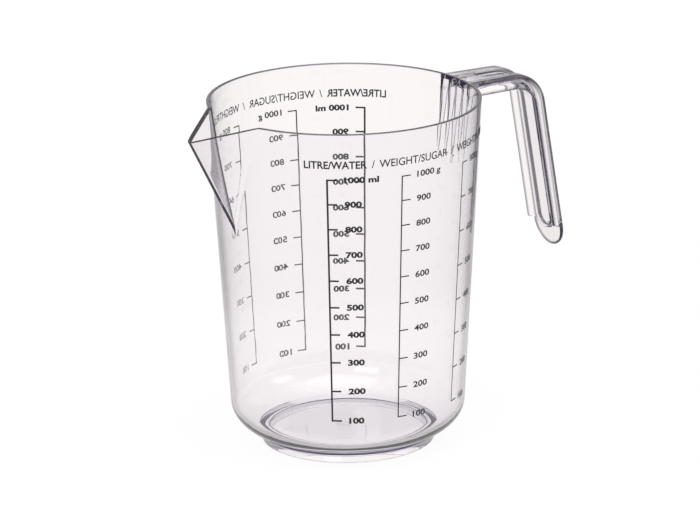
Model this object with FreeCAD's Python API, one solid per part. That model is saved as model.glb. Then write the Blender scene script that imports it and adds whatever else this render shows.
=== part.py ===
"""A clear plastic one-litre measuring jug with printed scales.

Millimetres, Z up. The origin is on the axis of the jug, in the plane that the
foot stands on. The handle points along +X and the spout along -X.
The jug is one moulding. It is built here as three regions that meet face to
face (body, foot ring, handle) and eight films of printing ink.
"""
import FreeCAD
import Part
import math
import os

os.makedirs("parts", exist_ok=True)

# Body
RIM_RADIUS = 57.9
JUG_HEIGHT = 149.6
WALL_TAPER = 0.0601        # radius lost for each millimetre down the wall
WALL = 1.5
FLOOR_THICKNESS = 2.2
CORNER_ACROSS = 19.5       # half axes of the rounded bottom corner
CORNER_UP = 14.0

# Foot ring
FOOT_HEIGHT = 3.7          # from the table to the under side of the floor
FOOT_RADIUS = 36.8
FOOT_WIDTH = 2.5
FOOT_FLARE = 0.3           # radius gained for each millimetre up
FOOT_CHAMFER = 0.6         # inside the ring, under the floor

# Spout
SPOUT_REACH = 18.7         # tip beyond the rim
SPOUT_DROP = 7.7           # tip below the rim
SPOUT_HALF_ANGLE = 38.5    # degrees, each side of the keel
KEEL_LEAN = 0.52           # millimetres out for each millimetre up

# Handle
ARM_DROP = 0.35            # top of the arm below the rim, where it leaves the wall
ARM_REACH = 35.8           # rim to the corner of the outer faces
ARM_FALL = 0.007           # millimetres down for each millimetre out
ARM_DEPTH = 6.4
GRIP_TILT = 9.34           # degrees outward, going down
GRIP_DEPTH = 5.2
GRIP_LENGTH = 82.5         # corner of the outer faces to the end of the tongue
BEND_RADIUS = 16.0
ROOT_HALF_WIDTH = 11.0
GRIP_HALF_WIDTH = 10.2
WEB_THICKNESS = 2.0
FLANGE_THICKNESS = 1.5
FLANGE_END_SLOPE = 2.0
GROOVE_HALF_WIDTH = 5.0
GROOVE_DEPTH = 2.2
GROOVE_WALL = 0.9
GROOVE_FLOOR = 1.5
GROOVE_START = 8.5         # from the rim to the round end of the groove
GROOVE_END_GAP = 8.1       # from the round end of its wall to the end of the tongue
RIB_THICKNESS = 1.5
RIB_REACH = 4.0
RIB_LENGTH = 36.0

# Printed scales
INK_THICKNESS = 0.08
LINE_WIDTH = 0.5
BOLD_LINE_WIDTH = 0.72
TICK_LENGTH = 4.0
LABEL_GAP = 7.0            # scale line to the first digit
DIGIT_HEIGHT = 2.75
DIGIT_WIDTH = 1.95
DIGIT_PITCH = 2.45
BOLD_STROKE = 0.5
PLAIN_STROKE = 0.32
LITRE_ANGLE = -129.7       # degrees round the jug from the handle
SUGAR_ANGLE = -97.7
FLOUR_ANGLE = -62.4
BACK_LITRE_ANGLE = 48.7
BACK_SUGAR_ANGLE = 79.4
BACK_FLOUR_ANGLE = 111.6
MARK_STEP = 100
LAST_MARK = 1000
LAST_FLOUR_MARK = 800
PRINT_LIFT = 2.4           # true level of each mark to its printed line
FLOUR_START = 23.3
FLOUR_SPACING = 15.07
HEADING_DROP = 13.2        # rim to the middle of the heading
HEADING_HEIGHT = 3.4
HEADING_WIDTH = 1.95
HEADING_STROKE = 0.42
HEADING_CLEARANCE = 2.5    # last mark to the foot of the heading

SLICES = 240
BISECTIONS = 50
OVERRUN = 6.0              # how far a cutting tool runs past what it cuts

Z_AXIS = FreeCAD.Vector(0, 0, 1)


# ---------------------------------------------------------------- body sizes

CORNER_Z = FOOT_HEIGHT + CORNER_UP
FLOOR_TOP = FOOT_HEIGHT + FLOOR_THICKNESS


def outer_radius(z):
    """Outside of the tapered wall at height z."""
    return RIM_RADIUS - WALL_TAPER * (JUG_HEIGHT - z)


def corner(inset, bottom):
    """Ellipse that rounds the bottom corner, tangent to the tapered wall."""
    across = CORNER_ACROSS - inset
    up = CORNER_Z - bottom
    slant = math.hypot(across, WALL_TAPER * up)
    centre = outer_radius(CORNER_Z) - inset - slant
    start_radius = centre + across ** 2 / slant
    start_z = CORNER_Z - WALL_TAPER * up ** 2 / slant
    return {"across": across, "up": up, "centre": centre, "start_radius": start_radius,
            "start_z": start_z, "bottom": bottom}


def corner_radius(shape, z):
    """Radius of the rounded corner at height z."""
    drop = (CORNER_Z - z) / shape["up"]
    return shape["centre"] + shape["across"] * math.sqrt(max(0.0, 1.0 - drop ** 2))


def inner_radius(z):
    """Inside of the jug at height z."""
    shape = corner(WALL, FLOOR_TOP)
    if z < shape["start_z"]:
        return corner_radius(shape, z)
    return outer_radius(z) - WALL


def volume_below(z):
    """Millilitres that the jug holds up to height z."""
    step = (z - FLOOR_TOP) / SLICES
    total = 0.0
    for index in range(SLICES):
        middle = FLOOR_TOP + (index + 0.5) * step
        total += math.pi * inner_radius(middle) ** 2 * step
    return total / 1000.0


def level_of(millilitres):
    """Height of the surface of that much water."""
    low = FLOOR_TOP
    high = 2.0 * JUG_HEIGHT
    for _ in range(BISECTIONS):
        middle = 0.5 * (low + high)
        if volume_below(middle) < millilitres:
            low = middle
        else:
            high = middle
    return 0.5 * (low + high)


# ---------------------------------------------------------------- small helpers

def point(x, z):
    """Point in the plane of the handle and the spout."""
    return FreeCAD.Vector(x, 0, z)


def polygon(points):
    """Face with straight sides."""
    return Part.Face(Part.makePolygon(points + [points[0]]))


def revolve(face):
    """Solid of a face turned once about the axis of the jug."""
    return face.revolve(FreeCAD.Vector(0, 0, 0), Z_AXIS, 360)


def spread(face, low, high):
    """Solid of a face in the XZ plane, from y = low to y = high."""
    moved = face.translated(FreeCAD.Vector(0, low, 0))
    return moved.extrude(FreeCAD.Vector(0, high - low, 0))


def save(name, shape):
    """Write one sub-part."""
    shape.exportStep(os.path.join("parts", name + ".step"))


# ---------------------------------------------------------------- body

def turned_solid(inset, bottom, top):
    """Everything inside the wall's surface at that inset, from bottom to top."""
    shape = corner(inset, bottom)
    major = max(shape["across"], shape["up"])
    minor = min(shape["across"], shape["up"])
    middle = point(shape["centre"], CORNER_Z)
    side = middle + FreeCAD.Vector(major, 0, 0)
    quarter = middle - FreeCAD.Vector(0, 0, minor)
    if shape["up"] > shape["across"]:
        side = middle - FreeCAD.Vector(0, 0, major)
        quarter = middle + FreeCAD.Vector(minor, 0, 0)
    ellipse = Part.Ellipse(side, quarter, middle)
    low = point(shape["centre"], bottom)
    start = point(shape["start_radius"], shape["start_z"])
    first = ellipse.parameter(low)
    last = ellipse.parameter(start)
    if last < first:
        last += 2.0 * math.pi
    if last - first > math.pi:
        first, last = last, first + 2.0 * math.pi
    arc = Part.Edge(Part.ArcOfEllipse(ellipse, first, last))
    upper = point(outer_radius(top) - inset, top)
    edges = [Part.makeLine(point(0, bottom), low), arc, Part.makeLine(start, upper),
             Part.makeLine(upper, point(0, top)), Part.makeLine(point(0, top), point(0, bottom))]
    return revolve(Part.Face(Part.Wire(Part.__sortEdges__(edges))))


def keel_radius(z):
    """Distance of the outer keel of the spout from the axis."""
    tip_z = JUG_HEIGHT - SPOUT_DROP
    return RIM_RADIUS + SPOUT_REACH + KEEL_LEAN * (z - tip_z)


def spout_prism(inset, top):
    """Vee-shaped prism that leans with the keel, moved in by the wall."""
    half = math.radians(SPOUT_HALF_ANGLE)
    thickening = math.hypot(1.0, KEEL_LEAN * math.sin(half))
    apex = keel_radius(top) - inset * thickening / math.sin(half)
    depth = (keel_radius(top) - outer_radius(top) + 2.0 * WALL + OVERRUN) / (KEEL_LEAN - WALL_TAPER)
    back = RIM_RADIUS * math.sin(half)
    side = (apex - back) * math.tan(half)
    triangle = polygon([FreeCAD.Vector(-apex, 0, top), FreeCAD.Vector(-back, side, top),
                        FreeCAD.Vector(-back, -side, top)])
    return triangle.extrude(FreeCAD.Vector(KEEL_LEAN * depth, 0, -depth))


def mouth_x():
    """X of the points where the spout leaves the rim."""
    half = math.radians(SPOUT_HALF_ANGLE)
    apex = keel_radius(JUG_HEIGHT)
    flank = apex * math.cos(half) - math.sqrt(RIM_RADIUS ** 2 - (apex * math.sin(half)) ** 2)
    return -(apex - flank * math.cos(half))


def lip_cut():
    """What is taken off the top of the spout so that its lip falls to the tip."""
    start = mouth_x()
    tip = -(RIM_RADIUS + SPOUT_REACH)
    slope = SPOUT_DROP / (start - tip)
    end = tip - OVERRUN
    outline = polygon([point(start, JUG_HEIGHT), point(end, JUG_HEIGHT - slope * (start - end)),
                       point(end, JUG_HEIGHT + OVERRUN), point(start, JUG_HEIGHT + OVERRUN)])
    return spread(outline, -RIM_RADIUS, RIM_RADIUS)


def outer_form(top):
    """The body as if it were solid, up to the height given."""
    return turned_solid(0.0, FOOT_HEIGHT, top)


def make_body():
    """Wall, rounded corner, floor and spout."""
    shell = outer_form(JUG_HEIGHT).fuse(spout_prism(0.0, JUG_HEIGHT))
    cavity = turned_solid(WALL, FLOOR_TOP, JUG_HEIGHT + OVERRUN)
    channel = spout_prism(WALL, JUG_HEIGHT + OVERRUN)
    return shell.cut(cavity.fuse(channel)).cut(lip_cut()).removeSplitter()


def make_foot():
    """Ring under the floor that the jug stands on."""
    inner = FOOT_RADIUS - FOOT_WIDTH
    rise = CORNER_UP
    land = FOOT_HEIGHT - FOOT_CHAMFER / 2.0
    outline = polygon([point(inner, 0), point(FOOT_RADIUS, 0),
                       point(FOOT_RADIUS + FOOT_FLARE * rise, rise), point(inner - FOOT_CHAMFER, rise),
                       point(inner - FOOT_CHAMFER, land + FOOT_CHAMFER), point(inner, land)])
    return revolve(outline).cut(outer_form(JUG_HEIGHT))


# ---------------------------------------------------------------- handle

def arm_direction():
    """Unit vector along the arm, away from the jug."""
    return FreeCAD.Vector(1, 0, -ARM_FALL).normalize()


def grip_direction():
    """Unit vector down the grip."""
    tilt = math.radians(GRIP_TILT)
    return FreeCAD.Vector(math.sin(tilt), 0, -math.cos(tilt))


def inward(direction):
    """Unit vector from an outer face into the handle."""
    return FreeCAD.Vector(direction.z, 0, -direction.x)


def outer_corner():
    """Where the outer faces of arm and grip would meet."""
    return point(RIM_RADIUS + ARM_REACH, JUG_HEIGHT - ARM_DROP - ARM_FALL * ARM_REACH)


def grip_point(along, depth):
    """Point on the grip, from the outer corner and the outer face."""
    down = grip_direction()
    return outer_corner() + down * along + inward(down) * depth


def arm_point(from_rim, depth):
    """Point on the arm, from the rim and the outer face."""
    out = arm_direction()
    return outer_corner() + out * (from_rim - ARM_REACH) + inward(out) * depth


def bend_edges(arm_depth, grip_depth, grip_end):
    """Line, bend and line at one depth inside the outer faces."""
    out = arm_direction()
    down = grip_direction()
    turn = math.acos(out.dot(down))
    radius = BEND_RADIUS - 0.5 * (arm_depth + grip_depth)
    # the two lines cross where both depths are met
    slip = (arm_depth - grip_depth * out.dot(down)) / math.sin(turn)
    cross = grip_point(slip, grip_depth)
    reach = radius * math.tan(turn / 2.0)
    bend_start = cross - out * reach
    bend_end = cross + down * reach
    bend_centre = bend_start + inward(out) * radius
    halfway = bend_centre - (inward(out) + inward(down)).normalize() * radius
    start = arm_point(-OVERRUN, arm_depth)
    end = grip_point(grip_end, grip_depth)
    return [Part.makeLine(start, bend_start),
            Part.Arc(bend_start, halfway, bend_end).toShape(),
            Part.makeLine(bend_end, end)]


def band(upper, lower, upper_end, lower_end, low_y, high_y):
    """Solid between two depths, each an (arm, grip) pair, with the grip's ends."""
    first = bend_edges(upper[0], upper[1], upper_end)
    second = bend_edges(lower[0], lower[1], lower_end)
    closing = [Part.makeLine(first[0].Vertexes[0].Point, second[0].Vertexes[0].Point),
               Part.makeLine(first[2].Vertexes[1].Point, second[2].Vertexes[1].Point)]
    face = Part.Face(Part.Wire(Part.__sortEdges__(first + second + closing)))
    return spread(face, low_y, high_y)


def planform(inset):
    """Block with the handle's outline from above."""
    root = ROOT_HALF_WIDTH - inset
    grip = GRIP_HALF_WIDTH - inset
    bend_x = RIM_RADIUS + ARM_REACH - BEND_RADIUS
    far_x = bend_x + GRIP_LENGTH
    near_x = RIM_RADIUS - OVERRUN
    outline = []
    for x, y in ((near_x, root), (RIM_RADIUS, root), (bend_x, grip), (far_x, grip)):
        outline.append(FreeCAD.Vector(x, y, -OVERRUN))
    for x, y in ((far_x, grip), (bend_x, grip), (RIM_RADIUS, root), (near_x, root)):
        outline.append(FreeCAD.Vector(x, -y, -OVERRUN))
    return polygon(outline).extrude(FreeCAD.Vector(0, 0, JUG_HEIGHT + OVERRUN))


def round_end(along, radius):
    """What is taken off the grip beyond a half-round end centred at that place."""
    down = grip_direction()
    normal = inward(down)
    reach = GRIP_LENGTH
    half = ROOT_HALF_WIDTH + OVERRUN
    base = grip_point(along, -OVERRUN)
    corners = []
    for step, side in ((0.0, -half), (0.0, half), (reach, half), (reach, -half)):
        corners.append(base + down * step + FreeCAD.Vector(0, side, 0))
    block = polygon(corners).extrude(normal * (3.0 * OVERRUN))
    disc = Part.makeCylinder(radius, 5.0 * OVERRUN, base - normal * OVERRUN, normal)
    return block.cut(disc)


def make_groove(wall_end):
    """Long recess in the outer face, with a round end on the arm and on the grip."""
    end = wall_end - GROOVE_WALL - GROOVE_HALF_WIDTH
    tool = band((-OVERRUN, -OVERRUN), (GROOVE_DEPTH, GROOVE_DEPTH), end, end,
                -GROOVE_HALF_WIDTH, GROOVE_HALF_WIDTH)
    start = GROOVE_START + GROOVE_HALF_WIDTH
    out = arm_direction()
    base = arm_point(start, -2.0 * OVERRUN)
    corners = []
    for side in (-1, 1):
        corners.append(base + FreeCAD.Vector(0, side * 2.0 * GROOVE_HALF_WIDTH, 0))
    for side in (1, -1):
        corners.append(corners[0 if side < 0 else 1] - out * (start + 2.0 * OVERRUN))
    block = polygon(corners).extrude(inward(out) * (4.0 * OVERRUN))
    tool = tool.cut(block)
    depth = GROOVE_DEPTH + OVERRUN
    ends = [Part.makeCylinder(GROOVE_HALF_WIDTH, depth, arm_point(start, -OVERRUN), inward(out)),
            Part.makeCylinder(GROOVE_HALF_WIDTH, depth, grip_point(end, -OVERRUN),
                              inward(grip_direction()))]
    return tool.multiFuse(ends)


def make_wall_rib(centre_y):
    """Shallow rib that runs down the wall from the arm and fades out."""
    top = JUG_HEIGHT - ARM_DROP - WEB_THICKNESS / 2.0
    low = top - RIB_LENGTH
    back = outer_radius(low) - WALL
    outline = polygon([point(back, top), point(outer_radius(top) + RIB_REACH, top),
                       point(outer_radius(low), low), point(back, low)])
    return spread(outline, centre_y - RIB_THICKNESS / 2.0, centre_y + RIB_THICKNESS / 2.0)


def make_handle():
    """Arm, bend and grip with side flanges, a grooved web and a flat tongue."""
    wide = 2.0 * ROOT_HALF_WIDTH
    tongue_centre = GRIP_LENGTH - GRIP_HALF_WIDTH
    web = band((0, 0), (WEB_THICKNESS, WEB_THICKNESS), GRIP_LENGTH, GRIP_LENGTH, -wide, wide)
    web = web.cut(round_end(tongue_centre, GRIP_HALF_WIDTH))
    flanges = band((0, 0), (ARM_DEPTH, GRIP_DEPTH), tongue_centre,
                   tongue_centre - FLANGE_END_SLOPE, -wide, wide)
    flanges = flanges.cut(planform(FLANGE_THICKNESS))
    wall_end = GRIP_LENGTH - GROOVE_END_GAP
    wall_half = GROOVE_HALF_WIDTH + GROOVE_WALL
    depth = GROOVE_DEPTH + GROOVE_FLOOR
    boss = band((0, 0), (depth, depth), wall_end, wall_end, -wall_half, wall_half)
    boss = boss.cut(round_end(wall_end - wall_half, wall_half))
    rib_places = [ROOT_HALF_WIDTH - RIB_THICKNESS / 2.0, wall_half - RIB_THICKNESS / 2.0]
    ribs = [make_wall_rib(0.0)]
    for place in rib_places:
        ribs.append(make_wall_rib(place))
        ribs.append(make_wall_rib(-place))
    handle = web.multiFuse([flanges, boss]).cut(make_groove(wall_end)).multiFuse(ribs)
    handle = handle.common(planform(0.0))
    return handle.cut(outer_form(JUG_HEIGHT + OVERRUN)).removeSplitter()


# ---------------------------------------------------------------- printed characters

# Strokes on a grid 4 wide and 6 high. A closed stroke starts with True.
BOWL = [(1, 0), (3, 0), (4, 1), (4, 2.5), (3, 3.5), (1, 3.5), (0, 2.5), (0, 1)]
OVAL = [(1, 0), (3, 0), (4, 1), (4, 5), (3, 6), (1, 6), (0, 5), (0, 1)]
GLYPHS = {
    "0": [(True, OVAL)],
    "1": [(False, [(0.8, 4.8), (2, 6), (2, 0)])],
    "2": [(False, [(0, 5), (1, 6), (3, 6), (4, 5), (4, 4), (0.3, 0), (4, 0)])],
    "3": [(False, [(0, 5), (1, 6), (3, 6), (4, 5), (4, 4), (3, 3.2), (4, 2.2), (4, 1), (3, 0), (1, 0),
                   (0, 1)])],
    "4": [(False, [(4, 1.8), (0, 1.8), (3, 6)]), (False, [(3, 6), (3, 0)])],
    "5": [(False, [(4, 6), (0.3, 6), (0, 3.5), (3, 3.5), (4, 2.5), (4, 1), (3, 0), (1, 0), (0, 1)])],
    "6": [(True, BOWL), (False, [(0, 2), (0, 4.5), (1.5, 6), (3.6, 6)])],
    "7": [(False, [(0, 6), (4, 6), (1.5, 0)])],
    "8": [(True, [(1, 0), (3, 0), (4, 1), (4, 2), (3, 3), (1, 3), (0, 2), (0, 1)]),
          (True, [(1, 3), (3, 3), (4, 4), (4, 5), (3, 6), (1, 6), (0, 5), (0, 4)])],
    "9": [(True, [(4 - x, 6 - y) for x, y in BOWL]), (False, [(4, 4), (4, 1.5), (2.5, 0), (0.4, 0)])],
    "m": [(False, [(0, 0), (0, 4), (4, 4), (4, 0)]), (False, [(2, 4), (2, 0)])],
    "l": [(False, [(1, 0), (1, 6)])],
    "g": [(True, [(0, 1), (0, 4), (3, 4), (3, 1)]), (False, [(3, 2), (3, -1.5), (0.4, -1.5)])],
    "A": [(False, [(0, 0), (2, 6)]), (False, [(2, 6), (4, 0)]), (False, [(0.8, 2), (3.2, 2)])],
    "E": [(False, [(4, 0), (0, 0), (0, 6), (4, 6)]), (False, [(0, 3), (3.4, 3)])],
    "F": [(False, [(0, 0), (0, 6), (4, 6)]), (False, [(0, 3), (3.4, 3)])],
    "G": [(False, [(4, 5), (3, 6), (1, 6), (0, 5), (0, 1), (1, 0), (4, 0), (4, 2.6), (2.4, 2.6)])],
    "H": [(False, [(0, 0), (0, 6)]), (False, [(4, 0), (4, 6)]), (False, [(0, 3), (4, 3)])],
    "I": [(False, [(2, 0), (2, 6)])],
    "L": [(False, [(0, 6), (0, 0), (4, 0)])],
    "O": [(True, OVAL)],
    "R": [(False, [(0, 0), (0, 6)]), (False, [(0, 6), (3, 6), (4, 5), (4, 4), (3, 3), (0, 3)]),
          (False, [(2.2, 3), (4, 0)])],
    "S": [(False, [(4, 5), (3, 6), (1, 6), (0, 5), (0, 4), (1, 3.2), (3, 2.8), (4, 2), (4, 1), (3, 0),
                   (1, 0), (0, 1)])],
    "T": [(False, [(0, 6), (4, 6)]), (False, [(2, 6), (2, 0)])],
    "U": [(False, [(0, 6), (0, 1), (1, 0), (3, 0), (4, 1), (4, 6)])],
    "W": [(False, [(0, 6), (1, 0)]), (False, [(1, 0), (2, 4.5)]), (False, [(2, 4.5), (3, 0)]),
          (False, [(3, 0), (4, 6)])],
    "/": [(False, [(0.6, 0), (3.4, 6)])],
}
GRID_WIDE = 4.0
GRID_HIGH = 6.0
# words, first letter past the litre line, and letter pitch
HEADING = (("LITRE/WATER", -9.6, 2.41), ("/", 18.4, 0.0), ("WEIGHT/SUGAR", 21.8, 2.79),
           ("/", 57.6, 0.0), ("WEIGHT/FLOUR", 61.6, 2.75))


def beside(points, shift, closed):
    """The same path moved to its left by shift, with mitred corners."""
    count = len(points)
    moved = []
    for index in range(count):
        here = points[index]
        before = points[index - 1] if index > 0 or closed else None
        after = points[(index + 1) % count] if index < count - 1 or closed else None
        normals = []
        for start, end in ((before, here), (here, after)):
            if start is not None and end is not None:
                length = math.hypot(end[0] - start[0], end[1] - start[1])
                normals.append(((start[1] - end[1]) / length, (end[0] - start[0]) / length))
        if len(normals) == 1:
            normals.append(normals[0])
        across = 1.0 + normals[0][0] * normals[1][0] + normals[0][1] * normals[1][1]
        moved.append((here[0] + shift * (normals[0][0] + normals[1][0]) / across,
                      here[1] + shift * (normals[0][1] + normals[1][1]) / across))
    return moved


def tangent_face(points, angle, z):
    """Flat face held up against the wall: u to the right seen from outside, v up."""
    turn = math.radians(angle)
    outward = FreeCAD.Vector(math.cos(turn), math.sin(turn), 0)
    right = FreeCAD.Vector(-math.sin(turn), math.cos(turn), 0)
    base = outward * (outer_radius(z) - OVERRUN) + FreeCAD.Vector(0, 0, z)
    corners = [base + right * u + Z_AXIS * v for u, v in points]
    return polygon(corners), outward


def stamp(points, angle, z):
    """Prism through the wall's surface."""
    face, outward = tangent_face(points, angle, z)
    return face.extrude(outward * (2.0 * OVERRUN))


def stroke_prism(closed, path, width, angle, z):
    """Prism of one pen stroke."""
    left = beside(path, width / 2.0, closed)
    right = beside(path, -width / 2.0, closed)
    if closed:
        return stamp(right, angle, z).cut(stamp(left, angle, z))
    return stamp(left + right[::-1], angle, z)


def glyph_prisms(character, offset, height, width, stroke, angle, z):
    """One character as a prism, its lower left corner at offset from the middle."""
    wide = (width - stroke) / GRID_WIDE
    high = (height - stroke) / GRID_HIGH
    strokes = []
    for closed, path in GLYPHS[character]:
        placed = [(offset + stroke / 2.0 + x * wide, stroke / 2.0 + y * high - height / 2.0)
                  for x, y in path]
        strokes.append(stroke_prism(closed, placed, stroke, angle, z))
    if len(strokes) == 1:
        return strokes[0]
    return strokes[0].multiFuse(strokes[1:]).removeSplitter()


def film():
    """Skin of ink thickness on the tapered wall."""
    low = corner(0.0, FOOT_HEIGHT)["start_z"]
    high = JUG_HEIGHT
    outline = [point(outer_radius(low), low), point(outer_radius(low) + INK_THICKNESS, low),
               point(outer_radius(high) + INK_THICKNESS, high), point(outer_radius(high), high)]
    return revolve(polygon(outline))


def arc_angle(length, z):
    """Degrees round the wall for a length along it."""
    return math.degrees(length / outer_radius(z))


def label_prisms(text, line_angle, z, stroke):
    """A number to the right of its tick."""
    prisms = []
    middle = LABEL_GAP + 0.5 * (len(text) * DIGIT_PITCH)
    angle = line_angle + arc_angle(middle, z)
    for index, character in enumerate(text):
        if character == " ":
            continue
        offset = LABEL_GAP + index * DIGIT_PITCH - middle
        prisms.append(glyph_prisms(character, offset, DIGIT_HEIGHT, DIGIT_WIDTH, stroke, angle, z))
    return prisms


def comb_prism(heights, angle, line_width):
    """Scale line with a tick at each mark, as one outline."""
    half = line_width / 2.0
    middle = 0.5 * (heights[0] + heights[-1])
    points = [(-half, heights[0] - half - middle)]
    for height in heights:
        level = height - middle
        points.append((TICK_LENGTH, level - half))
        points.append((TICK_LENGTH, level + half))
        if height != heights[-1]:
            points.append((half, level + half))
            following = heights[heights.index(height) + 1] - middle
            points.append((half, following - half))
    points.append((-half, heights[-1] + half - middle))
    return stamp(points, angle, middle)


def make_scale(heights, labels, angle, stroke, line_width):
    """Line, ticks and numbers of one scale."""
    prisms = [comb_prism(heights, angle, line_width)]
    for height, text in zip(heights, labels):
        prisms += label_prisms(text, angle, height, stroke)
    return Part.makeCompound(prisms).common(film())


def make_heading(line_angle):
    """Row of words over the three scales."""
    z = JUG_HEIGHT - HEADING_DROP
    prisms = []
    for words, start, pitch in HEADING:
        for index, character in enumerate(words):
            place = start + index * pitch + HEADING_WIDTH / 2.0
            angle = line_angle + arc_angle(place, z)
            prisms.append(glyph_prisms(character, -HEADING_WIDTH / 2.0, HEADING_HEIGHT, HEADING_WIDTH,
                                       HEADING_STROKE, angle, z))
    return Part.makeCompound(prisms).common(film())


def marks_that_fit(levels, unit):
    """Heights and labels of the marks that lie under the heading."""
    top = JUG_HEIGHT - HEADING_DROP - HEADING_HEIGHT / 2.0 - HEADING_CLEARANCE
    heights = []
    labels = []
    for amount, height in levels:
        if height <= top:
            heights.append(height)
            labels.append(str(amount))
    labels[-1] += " " + unit
    return heights, labels


def make_prints():
    """The eight films, by name."""
    amounts = range(MARK_STEP, LAST_MARK + 1, MARK_STEP)
    by_volume = [(amount, level_of(amount) + PRINT_LIFT) for amount in amounts]
    flour_amounts = range(MARK_STEP, LAST_FLOUR_MARK + 1, MARK_STEP)
    by_step = [(amount, FLOUR_START + index * FLOUR_SPACING)
               for index, amount in enumerate(flour_amounts)]
    litre = marks_that_fit(by_volume, "ml")
    sugar = marks_that_fit(by_volume, "g")
    flour = marks_that_fit(by_step, "g")
    sides = (("front", LITRE_ANGLE, SUGAR_ANGLE, FLOUR_ANGLE),
             ("back", BACK_LITRE_ANGLE, BACK_SUGAR_ANGLE, BACK_FLOUR_ANGLE))
    prints = {}
    for side, litre_angle, sugar_angle, flour_angle in sides:
        prints["litre_scale_" + side] = make_scale(*litre, litre_angle, BOLD_STROKE, BOLD_LINE_WIDTH)
        prints["sugar_scale_" + side] = make_scale(*sugar, sugar_angle, PLAIN_STROKE, LINE_WIDTH)
        prints["flour_scale_" + side] = make_scale(*flour, flour_angle, PLAIN_STROKE, LINE_WIDTH)
        prints["heading_" + side] = make_heading(litre_angle)
    return prints


save("jug_body", make_body())
save("foot_ring", make_foot())
save("handle", make_handle())
for print_name, print_shape in make_prints().items():
    save(print_name, print_shape)
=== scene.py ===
"""Clear plastic measuring jug: the seamless moulding, its printed scales, and a white studio."""
import math

import bmesh
import bpy
import numpy as np
from mathutils import Matrix, Vector
from mathutils.kdtree import KDTree


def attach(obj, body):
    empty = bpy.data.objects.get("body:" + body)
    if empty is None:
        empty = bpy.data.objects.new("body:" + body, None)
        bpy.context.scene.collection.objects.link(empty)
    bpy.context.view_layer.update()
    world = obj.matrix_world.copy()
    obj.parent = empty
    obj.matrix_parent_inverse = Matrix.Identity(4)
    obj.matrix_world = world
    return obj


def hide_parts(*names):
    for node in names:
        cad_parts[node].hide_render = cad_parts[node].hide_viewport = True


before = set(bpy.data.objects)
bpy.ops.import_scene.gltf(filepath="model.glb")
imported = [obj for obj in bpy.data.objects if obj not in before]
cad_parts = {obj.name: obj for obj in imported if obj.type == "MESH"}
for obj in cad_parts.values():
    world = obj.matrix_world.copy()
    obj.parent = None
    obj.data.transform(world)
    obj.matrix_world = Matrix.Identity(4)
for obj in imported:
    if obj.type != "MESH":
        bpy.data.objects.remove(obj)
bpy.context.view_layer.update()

MM = 0.001

# ---------------------------------------------------------------- sizes in millimetres

# Body
RIM_RADIUS = 57.9
JUG_HEIGHT = 149.6
WALL_TAPER = 0.0601
WALL = 1.5
RIM_ROUND = 0.3
FLOOR_THICKNESS = 2.2
RIM_SQUARENESS = 0.7
MIDDLE_RADIUS = 0.3
CORNER_ACROSS = 19.5
CORNER_UP = 14.0

# Foot ring
FOOT_HEIGHT = 3.7
FOOT_RADIUS = 36.8
FOOT_WIDTH = 2.5
FOOT_FLARE = 0.3
FOOT_ROUND = 0.5
FOOT_JOIN_ROUND = 0.5
FOOT_CORNER_ROUND = 0.7
FOOT_JOIN_HEIGHT = 4.9

# Spout
SPOUT_REACH = 19.7
SPOUT_DROP = 7.7
SPOUT_HALF_ANGLE = math.radians(36.6)
KEEL_LEAN = 0.52
KEEL_ROUND = math.radians(1.0)
CREASE_ROUND = math.radians(0.35)
CREASE_BLEND = 0.5
LIP_BLEND = 2.0

# Handle
ARM_DROP = 0.35
ARM_REACH = 35.8
ARM_FALL = 0.007
ARM_DEPTH = 6.4
GRIP_TILT = math.radians(9.34)
GRIP_DEPTH = 5.2
GRIP_LENGTH = 82.5
BEND_RADIUS = 16.0
ROOT_HALF_WIDTH = 11.0
GRIP_HALF_WIDTH = 10.2
WEB_THICKNESS = 2.0
FLANGE_THICKNESS = 1.5
FLANGE_END_SLOPE = 2.0
GROOVE_HALF_WIDTH = 5.0
GROOVE_DEPTH = 2.2
GROOVE_WALL = 0.9
GROOVE_FLOOR = 1.5
GROOVE_START = 8.5
GROOVE_END_GAP = 8.1
WALL_SLOPE_WIDTH = 0.6
EDGE_ROUND = 1.2
INNER_EDGE_ROUND = 0.7
SKIN_GAP = 0.04
RIB_THICKNESS = 1.5
RIB_REACH = 4.0
RIB_LENGTH = 36.0
RIB_ROUND = 0.4
RIB_SINK = 0.3

# Painted shade along the rim, the handle's edges and the groove walls, from 0 to 1, and how far down the
# rim's painted line runs
RIM_PAINTED_SHADE = 0.97
RIM_MIDDLE_SHARE = 0.7
RIM_LINE = 0.3
EDGE_PAINTED_SHADE = 0.86
GROOVE_PAINTED_SHADE = 0.95

# Printed scales
INK_GAP = 0.015
INK_THICKNESS = 0.05
LINE_WIDTH = 0.5
BOLD_LINE_WIDTH = 0.72
TICK_LENGTH = 4.0
LABEL_GAP = 7.0
DIGIT_HEIGHT = 2.75
DIGIT_PITCH = 2.4
LITRE_ANGLE = -129.7
SUGAR_ANGLE = -97.7
FLOUR_ANGLE = -62.4
BACK_LITRE_ANGLE = 48.7
BACK_SUGAR_ANGLE = 79.4
BACK_FLOUR_ANGLE = 111.6
PRINT_LIFT = 2.4
FLOUR_START = 23.3
FLOUR_SPACING = 15.07
HEADING_DROP = 13.2
HEADING_HEIGHT = 3.4
HEADING_LEAD = 11.2
# Words of the heading: start along the wall, length and extra boldness
HEADING = (("LITRE/WATER", 1.6, 26.2, 0.024),
           ("/", 29.8, 1.2, 0.01),
           ("WEIGHT/SUGAR", 33.0, 33.2, 0.008),
           ("/", 69.0, 1.2, 0.01),
           ("WEIGHT/FLOUR", 72.8, 32.8, 0.008))
LITRE_BOLD = 0.045
SUGAR_BOLD = 0.022
FLOUR_BOLD = 0.006
MARK_STEP = 100
LAST_MARK = 1000
LAST_FLOUR_MARK = 800

# Derived levels
CORNER_Z = FOOT_HEIGHT + CORNER_UP
FLOOR_TOP = FOOT_HEIGHT + FLOOR_THICKNESS


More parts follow.
